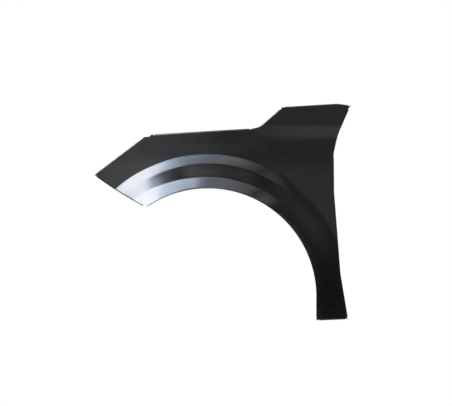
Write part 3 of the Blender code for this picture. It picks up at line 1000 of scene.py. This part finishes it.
    @staticmethod
    def column_places(start: Vector, end: Vector, bow: float, shares: np.ndarray) -> np.ndarray:
        """Lay places on one bowed column of facets.

        Args:
            start: Where the column starts.
            end: Where it ends.
            bow: How far it bows forward, as a share of its length.
            shares: How far along it the places lie.

        Returns:
            A row of x and z for each place.
        """
        way = end - start
        out = outward_of(way)
        s = shares[:, None]
        line = np.array(start)[None, :] + np.array(way)[None, :] * s
        return line + np.array(out)[None, :] * bow * BOW_SLOPE * s * (1 - s)

    def column(
        self, start: Vector, end: Vector, bow: float, stops: list[tuple[float, int]]
    ) -> list[Vector]:
        """Places of one column, on the flare's rows first and then evenly to the outline.

        Args:
            start: Where the column starts at the arch.
            end: Where it ends at the outline.
            bow: How far it bows forward, as a share of its length.
            stops: Distances from the arch that rows keep to, and the rows up to each.

        Returns:
            The column's places in the side view.
        """
        reach = float(self.reaches.arch_distance(end.x, end.y)) * self.fine.ring_room_share
        room = min(1.0, reach / stops[-1][0])
        last, parts = float(self.reaches.arch_distance(start.x, start.y)), []
        for stop, steps in stops:
            parts.append(last + (stop * room - last) * np.arange(1, steps + 1) / steps)
            last = stop * room
        targets = np.concatenate(parts)
        low, high = np.zeros_like(targets), np.ones_like(targets)
        for _ in range(self.fine.halvings):
            middle = (low + high) / 2
            places = self.column_places(start, end, bow, middle)
            near = self.reaches.arch_distance(places[:, 0], places[:, 1]) < targets
            low, high = np.where(near, middle, low), np.where(near, high, middle)
        shares = np.concatenate(([0.0], (low + high) / 2))
        steps = np.arange(1, self.fine.outer_rows + 1) / self.fine.outer_rows
        shares = np.concatenate((shares, shares[-1] + (1 - shares[-1]) * steps))
        return [Vector(place) for place in self.column_places(start, end, bow, shares)]

    def flange_at(self, length: float) -> tuple[Flange | None, float]:
        """Find the outer flange near a length along the outline.

        Args:
            length: The length.

        Returns:
            The flange, and the share of its bend's reach to stay back there.
        """
        for flange, (low, high) in self.spans.items():
            first, last = self.edges[flange]
            if first < length < last:
                shares = (length - first) / (low - first), (last - length) / (last - high)
                return flange, clamp(min(shares))
        return None, 0.0

    def bent(
        self, points: list[Vector], heading: Vector, toward: Vector, radius: float, facets: int
    ) -> None:
        """Carry a section on round a bend.

        Args:
            points: The section so far, which is added to.
            heading: The way it runs now.
            toward: The way it runs after the bend.
            radius: Radius of the painted side.
            facets: Number of facets round the bend.
        """
        side = (toward - heading * toward.dot(heading)).normalized()
        angle = heading.angle(toward)
        start = points[-1]
        for k in range(1, facets + 1):
            swing = angle * k / facets
            way = math.sin(swing) * heading + (1 - math.cos(swing)) * side
            points.append(start + radius * way)

    def flange_section(
        self,
        place: Vector,
        ways: tuple[Vector, Vector],
        edge: Vector,
        width: float,
        radius: float,
    ) -> list[Vector]:
        """Bend to the inboard way and carry on straight, standing on the outline.

        Args:
            place: Where the bend starts, in the side view.
            ways: The ways out of the panel and along its edge there.
            edge: The place of the outline that the flange stands on.
            width: Width of the straight run.
            radius: Radius of the bend.

        Returns:
            The section's points.
        """
        points = [self.form.point(place)]
        heading = self.form.heading_in_skin(place, *ways)
        self.bent(points, heading, INBOARD, radius, self.fine.bend_facets)
        points[-1] = Vector((edge.x, points[-1].y, edge.y))
        points.append(points[-1] + INBOARD * width)
        return points

    def gutter_section(
        self, place: Vector, ways: tuple[Vector, Vector], ledge_z: float
    ) -> list[Vector]:
        """Carry the hood gutter over the top, down its wall and inboard along the bolting ledge.

        Args:
            place: Where the bend starts, in the side view.
            ways: The ways out of the panel and along its edge there.
            ledge_z: Height of the ledge.

        Returns:
            The section's points.
        """
        f = self.flanges
        points = [self.form.point(place)]
        heading = self.form.heading_in_skin(place, *ways)
        down = Vector((0.0, math.sin(f.gutter_lean), -math.cos(f.gutter_lean)))
        self.bent(points, heading, down, f.gutter_bend, self.fine.gutter_facets)
        drop = points[-1].z - ledge_z - f.ledge_bend * (1 - math.sin(f.gutter_lean))
        points.append(points[-1] + down * max(drop, f.sheet) / math.cos(f.gutter_lean))
        self.bent(points, down, INBOARD, f.ledge_bend, self.fine.bend_facets)
        points.append(points[-1] + INBOARD * f.ledge_width)
        return points

    def ledge_height(self, length: float) -> float:
        """Find the ledge's height: along the hood line, dropped and level at the bolt seats.

        Args:
            length: Length along the outline.

        Returns:
            Height above the wheel centre.
        """
        f = self.flanges
        height = self.outline.at(length)[0].y - f.gutter_depth
        for seat in self.seats:
            apart = abs(length - seat) - f.seat_length / 2
            if apart < f.seat_ramp:
                level = self.outline.at(seat)[0].y - f.gutter_depth - f.seat_drop
                height = level + (height - level) * clamp(apart / f.seat_ramp)
        return height

    def end_taper(self, length: float, low: float, high: float) -> float:
        """Cut a flange at a slant near its ends.

        Args:
            length: Length along the boundary.
            low: Where the flange starts.
            high: Where it ends.

        Returns:
            The share of its width that the flange has there.
        """
        least = self.flanges.end_width_share
        return clamp(least + (1 - least) * min(length - low, high - length) / self.flanges.taper)

    def add_strip(
        self, sections: list[list[Vector]], boundary: list[bmesh.types.BMVert], run: int
    ) -> list[Run]:
        """Join neighbouring sections of one flange to the skin.

        Args:
            sections: The flange's sections in order.
            boundary: The skin's own vertices along the fold.
            run: Index of the section's point at which its straight run starts.

        Returns:
            The start and end of the straight run of each section.
        """
        columns = []
        for section, first in zip(sections, boundary):
            columns.append([first] + [self.mesh.verts.new(p) for p in section[1:]])
        for left, right in zip(columns, columns[1:]):
            for k in range(len(left) - 1):
                self.mesh.faces.new((left[k], right[k], right[k + 1], left[k + 1]))
        return [(section[run], section[run + 1]) for section in sections]

    def pierce(
        self,
        runs: list[Run],
        share: float,
        radius: float,
        slot: float = 0.0,
        reach_share: float | None = None,
    ) -> Vector:
        """Place a hole on a flange's straight run.

        Args:
            runs: The straight run of each section.
            share: Where the hole lies along the flange.
            radius: Radius of the hole, or half the width of a slot.
            slot: Length of the slot, or 0 for a round hole.
            reach_share: Where it lies across the flange, or nothing for the usual share.

        Returns:
            The centre of the hole.
        """
        gaps = [(b[0] - a[0]).length for a, b in zip(runs, runs[1:])]
        left, k = share * sum(gaps), 0
        while left > gaps[k] and k < len(gaps) - 1:
            left -= gaps[k]
            k += 1
        root, tip = (runs[k][end].lerp(runs[k + 1][end], left / gaps[k]) for end in (0, 1))
        along = (runs[k + 1][0] - runs[k][0]).normalized()
        axis = along.cross((tip - root).normalized()).normalized()
        centre = root.lerp(tip, self.holes.reach_share if reach_share is None else reach_share)
        slot_half = max(0.0, slot / 2 - radius)
        self.hole_places.append(HolePlace(centre, along, axis, radius, slot_half))
        return centre

    def columns(self, stations: list[float], starts: list[float]) -> list[list[Vector]]:
        """Lay the columns of facets from the arch to the outline, short of both bends.

        Args:
            stations: Length along the outline at which each column ends.
            starts: Length along the arch at which it starts.

        Returns:
            The places of each column in the side view.
        """
        f, form = self.flanges, self.form
        columns = []
        for station, along, lead in zip(stations, starts, self.leads(starts)):
            start, out = self.reaches.arch_point(along)
            start = start + out * form.bend_reach(start, -out, f.arch_bend) * lead
            end, heading = self.outline.at(station)
            flange, end_lead = self.flange_at(station)
            radius = f.gutter_bend if flange is Flange.GUTTER else f.edge_bend
            out, bow = outward_of(heading), self.outline.bow_share(station)
            way = end - start
            arriving = (way - outward_of(way) * BOW_SLOPE * bow).normalized()
            reach = form.bend_reach(end, out, radius) * end_lead
            end = end - arriving * reach / arriving.dot(out)
            columns.append(self.column(start, end, bow, self.ring_stops(along)))
        return columns

    def side_boundary(self, column: list[Vector], inner: list[Vector]) -> Boundary:
        """Step an outermost column back for its bend.

        Args:
            column: The first or last column, which is changed.
            inner: The column beside it.

        Returns:
            The boundary along the column, without its vertices.
        """
        ways = []
        for k, place in enumerate(column):
            heading = (column[min(k + 1, len(column) - 1)] - column[max(k - 1, 0)]).normalized()
            out = outward_of(heading)
            ways.append((-out if out.dot(place - inner[k]) < 0 else out, heading))
        edges, leads = list(column), self.leads(running_lengths(column))
        for k, (out, _) in enumerate(ways):
            reach = self.form.bend_reach(column[k], out, self.flanges.edge_bend)
            column[k] = column[k] - out * reach * leads[k]
        return Boundary(column, edges, ways, leads)

    def lay_skin(self, columns: list[list[Vector]]) -> list[list[bmesh.types.BMVert]]:
        """Lift the columns to the painted surface and join them with facets.

        Args:
            columns: The places of each column in the side view.

        Returns:
            The vertices of each column.
        """
        flat = np.array([tuple(place) for column in columns for place in column])
        depths = self.form.depth(flat[:, 0], flat[:, 1])
        verts = [
            self.mesh.verts.new((x, float(y), z)) for (x, z), y in zip(flat.tolist(), depths)
        ]
        rows = len(columns[0])
        grid = [verts[k * rows : (k + 1) * rows] for k in range(len(columns))]
        for left, right in zip(grid, grid[1:]):
            for j in range(rows - 1):
                self.mesh.faces.new((left[j], right[j], right[j + 1], left[j + 1]))
        return grid

    def fold_boundary(self, side: Boundary, width: float, radius: float) -> list[Run]:
        """Fold one straight flange along a boundary.

        Args:
            side: The boundary.
            width: Width of the flange's straight run.
            radius: Radius of its bend.

        Returns:
            The straight run of each section.
        """
        lengths = running_lengths(side.row)
        chosen = [k for k, lead in enumerate(side.leads) if lead > FULL_LEAD]
        low, high = lengths[0] + self.flanges.relief, lengths[-1] - self.flanges.relief
        sections = []
        for k in chosen:
            reach = width * self.end_taper(lengths[k], low, high)
            place = side.row[k], side.ways[k], side.edges[k]
            sections.append(self.flange_section(*place, reach, radius))
        return self.add_strip(sections, [side.verts[k] for k in chosen], self.fine.bend_facets)

    def outline_width(self, flange: Flange, length: float) -> float:
        """Find a flange's width, with its slanted ends and the door edge's tabs.

        Args:
            flange: The flange.
            length: Length along the outline.

        Returns:
            The width there.
        """
        f = self.flanges
        widths = {
            Flange.LAMP: f.lamp, Flange.COWL: f.cowl, Flange.CREST: f.crest, Flange.DOOR: f.door,
        }
        width = widths[flange] * self.end_taper(length, *self.spans[flange])
        if flange is Flange.DOOR:
            for tab in self.tabs:
                beyond = abs(length - tab) - f.tab_length / 2
                width += f.tab_reach * clamp(1 - beyond / f.tab_shoulder)
        return width

    def fold_outline(
        self,
        flange: Flange,
        stations: list[float],
        columns: list[list[Vector]],
        grid: list[list[bmesh.types.BMVert]],
    ) -> Strip:
        """Fold one flange of the outer outline.

        Args:
            flange: The flange.
            stations: Length along the outline at which each column ends.
            columns: The places of each column.
            grid: The vertices of each column.

        Returns:
            The flange's straight runs.
        """
        low, high = self.spans[flange]
        slack = self.flanges.sheet / 8
        chosen = [k for k, s in enumerate(stations) if low - slack < s < high + slack]
        facets, sections = self.fine.bend_facets, []
        for k in chosen:
            edge, heading = self.outline.at(stations[k])
            out, last = outward_of(heading), columns[k][-1]
            if flange is Flange.GUTTER:
                ledge_z = self.ledge_height(stations[k])
                sections.append(self.gutter_section(last, (out, heading), ledge_z))
                continue
            edge = last + out * (edge - last).dot(out)
            width, radius = self.outline_width(flange, stations[k]), self.flanges.edge_bend
            sections.append(self.flange_section(last, (out, heading), edge, width, radius))
        run = facets + self.fine.gutter_facets + 1 if flange is Flange.GUTTER else facets
        runs = self.add_strip(sections, [grid[k][-1] for k in chosen], run)
        return Strip(runs, [stations[k] for k in chosen])

    def build_surface(self) -> Vector:
        """Build the open painted surface with its flanges, and place its holes.

        Returns:
            The place of the part's origin, measured from the wheel centre.
        """
        f, h, stations = self.flanges, self.holes, self.stations()
        starts = [self.arch_start(s) for s in stations]
        columns = self.columns(stations, starts)
        front = self.side_boundary(columns[0], columns[1])
        foot = self.side_boundary(columns[-1], columns[-2])
        grid = self.lay_skin(columns)
        front.verts, foot.verts = grid[0], grid[-1]
        row, verts = [column[0] for column in columns], [column[0] for column in grid]
        edges, outs = zip(*(self.reaches.arch_point(start) for start in starts))
        ways = [(-out, outward_of(out)) for out in outs]
        arch = Boundary(row, list(edges), ways, self.leads(starts), verts)

        arch_runs = self.fold_boundary(arch, f.arch, f.arch_bend)
        bumper_runs = self.fold_boundary(front, f.bumper, f.edge_bend)
        sill_runs = self.fold_boundary(foot, f.sill, f.edge_bend)
        strips = {
            flange: self.fold_outline(flange, stations, columns, grid) for flange in self.spans
        }

        ledge, door = strips[Flange.GUTTER], strips[Flange.DOOR]
        seats = [
            self.pierce(ledge.runs, ledge.share_at(seat), h.seat_radius) for seat in self.seats
        ]
        for share in h.arch_clip_shares:
            self.pierce(arch_runs, share, h.clip_radius)
        for share in h.slot_places_shares:
            self.pierce(bumper_runs, share, h.slot_radius, h.slot_length)
        for share in h.sill_places_shares:
            self.pierce(sill_runs, share, h.sill_radius)
        self.pierce(strips[Flange.LAMP].runs, h.lamp_clip_share, h.clip_radius)
        self.pierce(strips[Flange.COWL].runs, h.cowl_clip_share, h.clip_radius)
        for tab in self.tabs:
            share = door.share_at(tab)
            self.pierce(door.runs, share, h.tab_radius, reach_share=h.tab_reach_share)
        return seats[len(seats) // 2] - Vector((f.seat_point_offset, 0.0, f.sheet))

    def make(self, finish: bpy.types.Material) -> bpy.types.Object:
        """Build, thicken, punch and dress the panel.

        Args:
            finish: The sheet's material.

        Returns:
            The finished piece, with its place in its mesh.
        """
        origin = self.origin = self.build_surface()
        log.info("origin %s m from the wheel centre", tuple(origin))
        bmesh.ops.translate(self.mesh, verts=self.mesh.verts, vec=-origin)
        for place in self.hole_places:
            place.centre = place.centre - origin
        bmesh.ops.recalc_face_normals(self.mesh, faces=self.mesh.faces)
        self.mesh.faces.ensure_lookup_table()
        if self.mesh.faces[0].normal.y > 0:
            bmesh.ops.reverse_faces(self.mesh, faces=self.mesh.faces)
        data = bpy.data.meshes.new("fender_sheet")
        self.mesh.to_mesh(data)
        self.mesh.free()
        data.materials.append(finish)
        sheet = bpy.data.objects.new("fender_sheet", data)
        bpy.context.scene.collection.objects.link(sheet)
        wall = sheet.modifiers.new("sheet", "SOLIDIFY")
        wall.thickness = self.flanges.sheet
        wall.offset = -1.0
        wall.use_even_offset = True
        wall.use_quality_normals = True
        punch = HolePunch(self.flanges.sheet, self.fine.hole_facets)
        mesh = punch.punch(sheet, self.hole_places, finish)
        bpy.data.objects.remove(sheet)
        mesh.name = "fender_skin"
        piece = bpy.data.objects.new("fender_skin", mesh)
        bpy.context.scene.collection.objects.link(piece)
        mesh.shade_smooth()
        mesh.set_sharp_from_angle(angle=self.fine.sharp_angle)
        return piece


@dataclass(frozen=True)
class SatinPrimer:
    """Black electro-dipped primer: an even satin film with a fine orange peel."""

    thin: Colour = (0.0060, 0.0060, 0.0058)
    full: Colour = (0.0042, 0.0042, 0.0041)
    roughness: Pair = (0.225, 0.265)
    refraction: float = 1.80
    cloud_scale: float = 9.0
    cloud_detail: float = 3.0
    grain_scale: float = 60.0
    grain_detail: float = 4.0
    peel_scale: float = 420.0
    peel_detail: float = 1.5
    peel_height: float = 0.000012
    noise_range: Pair = (0.3, 0.7)

    def material(self) -> bpy.types.Material:
        """Build the finish as nodes over the panel's own coordinates.

        Returns:
            The material.
        """
        material = bpy.data.materials.new("satin_black_primer")
        material.use_nodes = True
        sketch = NodeSketch(material.node_tree)
        inputs = material.node_tree.nodes["Principled BSDF"].inputs
        coords = sketch.put("ShaderNodeTexCoord").outputs["Object"]
        cloud = sketch.noise(coords, self.cloud_scale, self.cloud_detail)
        worn = sketch.spread(cloud, self.noise_range)
        sketch.feed(sketch.mix_colours(worn, self.full, self.thin), inputs["Base Color"])
        grain = sketch.noise(coords, self.grain_scale, self.grain_detail)
        sketch.feed(sketch.spread(grain, self.noise_range, self.roughness), inputs["Roughness"])
        sketch.feed(self.refraction, inputs["IOR"])
        peel = sketch.noise(coords, self.peel_scale, self.peel_detail)
        feeds = {"Strength": 1.0, "Distance": self.peel_height, "Height": peel}
        sketch.feed(sketch.put("ShaderNodeBump", feeds).outputs["Normal"], inputs["Normal"])
        return material


@dataclass(frozen=True)
class SoftBox:
    """A rectangular lamp that looks at the panel, by its bearing from the painted side."""

    name: str
    bearing: float
    rise: float
    width: float
    height: float
    radiance: float
    tint: Colour
    distance: float = 2.5

    def place(self, target: Vector) -> None:
        """Put the lamp up.

        Args:
            target: What it faces.
        """
        data = bpy.data.lights.new(self.name, "AREA")
        data.shape = "RECTANGLE"
        data.size, data.size_y = self.width, self.height
        data.energy = self.radiance * math.pi * self.width * self.height
        data.color = self.tint
        lamp = bpy.data.objects.new(self.name, data)
        bearing, rise = math.radians(self.bearing), math.radians(self.rise)
        level = math.cos(rise)
        way = Vector((level * math.sin(bearing), -level * math.cos(bearing), math.sin(rise)))
        lamp.location = target + way * self.distance
        lamp.rotation_euler = way.to_track_quat("Z", "Y").to_euler()
        bpy.context.scene.collection.objects.link(lamp)
        log.info("lamp %s at %.2f m", self.name, self.distance)


@dataclass(frozen=True)
class RoomPatch:
    """A soft-edged bright part of the room, in shares of a unit way across (x) and up (z).

    Each side gives the share at which the brightness is nothing and the one at which it is full.
    """

    left: Pair
    right: Pair
    low: Pair
    high: Pair
    brightness: float

    def shade(
        self, sketch: NodeSketch, across: bpy.types.NodeSocket, up: bpy.types.NodeSocket
    ) -> bpy.types.NodeSocket:
        """Lay the patch's brightness as nodes.

        Args:
            sketch: The node tree that gets the patch.
            across: The way looked at, along x.
            up: The way looked at, along z.

        Returns:
            The socket that holds the brightness.
        """
        value: bpy.types.NodeSocket | float = self.brightness
        for way, sides in ((across, (self.left, self.right)), (up, (self.low, self.high))):
            for side in sides:
                value = sketch.math("MULTIPLY", value, sketch.spread(way, side))
        return value


@dataclass(frozen=True)
class Studio:
    """Pale floor, plain soft light and a white surround."""

    floor_drop: float = 0.50
    floor_radius: float = 1.70
    floor_side: float = 0.05
    floor_back: float = 0.70
    floor_sides: int = 96
    floor_roughness: float = 0.7
    floor_colour: Colour = (0.72, 0.72, 0.72)
    floor_fade_shares: Pair = (0.45, 0.95)
    room_grey: float = 0.02
    room_back: float = 0.80
    room_back_fade: Pair = (-0.05, 0.30)
    patches: tuple[RoomPatch, ...] = (
        RoomPatch((-1.17, -0.52), (0.11, -0.21), (-0.13, -0.06), (0.11, 0.04), 1.15),
        RoomPatch((-0.80, -0.60), (-0.10, -0.35), (0.02, 0.10), (0.25, 0.15), 0.26),
        RoomPatch((-1.10, -0.82), (0.28, -0.34), (0.18, 0.44), (1.10, 0.84), 0.68),
        RoomPatch((0.17, 0.44), (0.89, 0.60), (0.01, 0.08), (0.52, 0.41), 0.78),
        RoomPatch((-0.09, 0.25), (0.92, 0.51), (0.54, 0.70), (1.10, 0.94), 0.84),
    )
    boxes: tuple[SoftBox, ...] = (
        SoftBox("key", -80.0, 42.0, 1.62, 1.50, 11.0, (0.87, 0.91, 1.0)),
        SoftBox("key_top", -50.0, 64.0, 1.10, 0.60, 9.2, (0.64, 0.78, 1.0)),
        SoftBox("front", -45.0, 42.0, 0.80, 0.60, 4.7, (0.50, 0.70, 1.0)),
        SoftBox("overhead", -5.0, 52.0, 1.20, 0.60, 1.3, (0.66, 0.80, 1.0)),
    )

    def white_rays(self, sketch: NodeSketch) -> tuple[bpy.types.NodeSocket, bpy.types.NodeSocket]:
        """Find the rays that see the white surround itself.

        Args:
            sketch: The node tree that asks.

        Returns:
            Whether a ray is glossy or transmitted, and whether it is the camera's.
        """
        rays = sketch.put("ShaderNodeLightPath").outputs
        seen = sketch.math("MAXIMUM", rays["Is Glossy Ray"], rays["Is Transmission Ray"])
        return seen, rays["Is Camera Ray"]

    def surround(self) -> None:
        """White for the eye; for gloss, white behind the panel and the dim room in front of it."""
        world = bpy.data.worlds.new("surround")
        world.use_nodes = True
        bpy.context.scene.world = world
        sketch = NodeSketch(world.node_tree)
        way = sketch.put("ShaderNodeTexCoord").outputs["Generated"]
        x, y, z = sketch.put("ShaderNodeSeparateXYZ", {0: way}).outputs
        behind = sketch.spread(y, self.room_back_fade)
        bright: bpy.types.NodeSocket | float = self.room_grey
        for patch in self.patches:
            bright = sketch.math("ADD", bright, patch.shade(sketch, x, z))
        room = sketch.mix_colours(behind, bright, (self.room_back,) * 3)
        seen, camera = self.white_rays(sketch)
        white = sketch.math("MAXIMUM", camera, sketch.math("MULTIPLY", seen, behind))
        background = world.node_tree.nodes["Background"]
        sketch.feed(sketch.mix_colours(white, room, WHITE), background.inputs["Color"])
        sketch.feed(1.0, background.inputs["Strength"])

    def floor(self, low: float) -> bpy.types.Object:
        """Lay a pale disc under the panel that fades into the white surround at its rim.

        Args:
            low: Height of the panel's lowest point.

        Returns:
            The floor.
        """
        centre = (self.floor_side, self.floor_back, low - self.floor_drop)
        mesh, disc = bpy.data.meshes.new("floor"), bmesh.new()
        bmesh.ops.create_circle(
            disc, cap_ends=True, radius=self.floor_radius, segments=self.floor_sides
        )
        bmesh.ops.translate(disc, verts=disc.verts, vec=centre)
        disc.to_mesh(mesh)
        disc.free()
        floor = bpy.data.objects.new("floor", mesh)
        bpy.context.scene.collection.objects.link(floor)
        material = bpy.data.materials.new("pale_floor")
        material.use_nodes = True
        sketch, nodes = NodeSketch(material.node_tree), material.node_tree.nodes
        shader = nodes["Principled BSDF"]
        sketch.feed((*self.floor_colour, 1.0), shader.inputs["Base Color"])
        sketch.feed(self.floor_roughness, shader.inputs["Roughness"])
        coords = sketch.put("ShaderNodeTexCoord").outputs["Object"]
        feeds = {0: coords, 1: centre}
        apart = sketch.put("ShaderNodeVectorMath", feeds, operation="DISTANCE").outputs["Value"]
        start, end = (self.floor_radius * share for share in self.floor_fade_shares)
        rim = sketch.spread(apart, (start, end))
        faded = sketch.math("MULTIPLY", sketch.math("MAXIMUM", *self.white_rays(sketch)), rim)
        glow = sketch.put("ShaderNodeEmission", {"Strength": 1.0})
        feeds = {"Fac": faded, 1: shader.outputs[0], 2: glow.outputs[0]}
        mixed = sketch.put("ShaderNodeMixShader", feeds)
        sketch.feed(mixed.outputs[0], nodes["Material Output"].inputs["Surface"])
        mesh.materials.append(material)
        return floor

    def build(self) -> None:
        """Set the surround, the floor and the lamps."""
        low, high = (Vector(v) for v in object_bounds())
        self.surround()
        self.floor(low.z)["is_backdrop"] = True
        for box in self.boxes:
            box.place((low + high) / 2)


@dataclass(frozen=True)
class PhotoCamera:
    """A long lens square on to the panel's painted side."""

    distance: float = 20.0
    view_width: float = 1.4992
    aim_x: float = 0.0606
    aim_z: float = 0.3117
    face_depth: float = -0.035
    sensor: float = 36.0
    clip_end: float = 200.0

    def build(self, origin: Vector) -> None:
        """Set the scene's camera.

        Args:
            origin: The part's origin, measured from the wheel centre.
        """
        data = bpy.data.cameras.new("photo_camera")
        data.sensor_width = self.sensor
        data.lens = self.sensor * self.distance / self.view_width
        data.clip_end = self.clip_end
        camera = bpy.data.objects.new("photo_camera", data)
        place = (self.aim_x - origin.x, self.face_depth - self.distance, self.aim_z - origin.z)
        camera.location = place
        camera.rotation_euler = (math.pi / 2, 0.0, 0.0)
        bpy.context.scene.collection.objects.link(camera)
        bpy.context.scene.camera = camera
        log.info("camera lens %.1f mm", data.lens)


def main() -> None:
    """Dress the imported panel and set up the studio."""
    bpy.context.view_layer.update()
    bpy.context.scene.view_settings.view_transform = "Standard"

    panel = FenderPanel()
    piece = panel.make(SatinPrimer().material())
    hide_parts(NODE)
    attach(piece, "root")
    log.info("panel has %d faces", len(piece.data.polygons))

    Studio().build()
    PhotoCamera().build(panel.origin)


if __name__ == "__main__":
    main()
